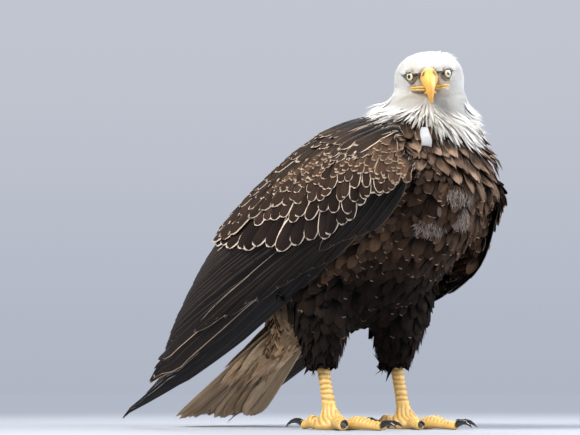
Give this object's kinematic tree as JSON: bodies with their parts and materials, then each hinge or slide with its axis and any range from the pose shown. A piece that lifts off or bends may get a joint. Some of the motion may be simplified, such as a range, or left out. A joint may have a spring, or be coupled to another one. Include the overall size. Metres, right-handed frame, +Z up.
{
  "type": "bald eagle",
  "caption": "Standing bald eagle, life size, with folded wings, tail lowered to the floor and the head turned over its right shoulder.",
  "frame": {"origin": "centre of the box round the bird, on the floor it stands on", "axes": "+Z up, the body faces -Y, the bird's left side is +X"},
  "size_m": [0.293, 0.6154, 0.5156],
  "materials": {
    "white_feather": "matt layered feather",
    "brown_feather": "satin layered feather",
    "dark_feather": "satin flight feather",
    "tail_feather": "matt stained feather",
    "bill_horn": "smooth satin horn",
    "foot_skin": "scaly skin",
    "talon_horn": "polished horn",
    "eye": "wet gloss"
  },
  "bodies": {
    "root": {"bill_lower": "bill_horn", "bill_upper": "bill_horn", "cere": "bill_horn", "eye_left": "eye", "eye_right": "eye", "head": "white_feather", "neck": "white_feather", "shank_left": "foot_skin", "shank_right": "foot_skin", "tail": "tail_feather", "tail_coverts": "tail_feather", "talon_left_hind": "talon_horn", "talon_left_inner": "talon_horn", "talon_left_middle": "talon_horn", "talon_left_outer": "talon_horn", "talon_right_hind": "talon_horn", "talon_right_inner": "talon_horn", "talon_right_middle": "talon_horn", "talon_right_outer": "talon_horn", "thigh_left": "brown_feather", "thigh_right": "brown_feather", "toe_left_hind": "foot_skin", "toe_left_inner": "foot_skin", "toe_left_middle": "foot_skin", "toe_left_outer": "foot_skin", "toe_right_hind": "foot_skin", "toe_right_inner": "foot_skin", "toe_right_middle": "foot_skin", "toe_right_outer": "foot_skin", "trunk": "brown_feather", "wing_left_coverts": "brown_feather", "wing_left_primaries": "dark_feather", "wing_left_secondaries": "brown_feather", "wing_right_coverts": "brown_feather", "wing_right_primaries": "dark_feather", "wing_right_secondaries": "brown_feather"}
  },
  "joints": []
}
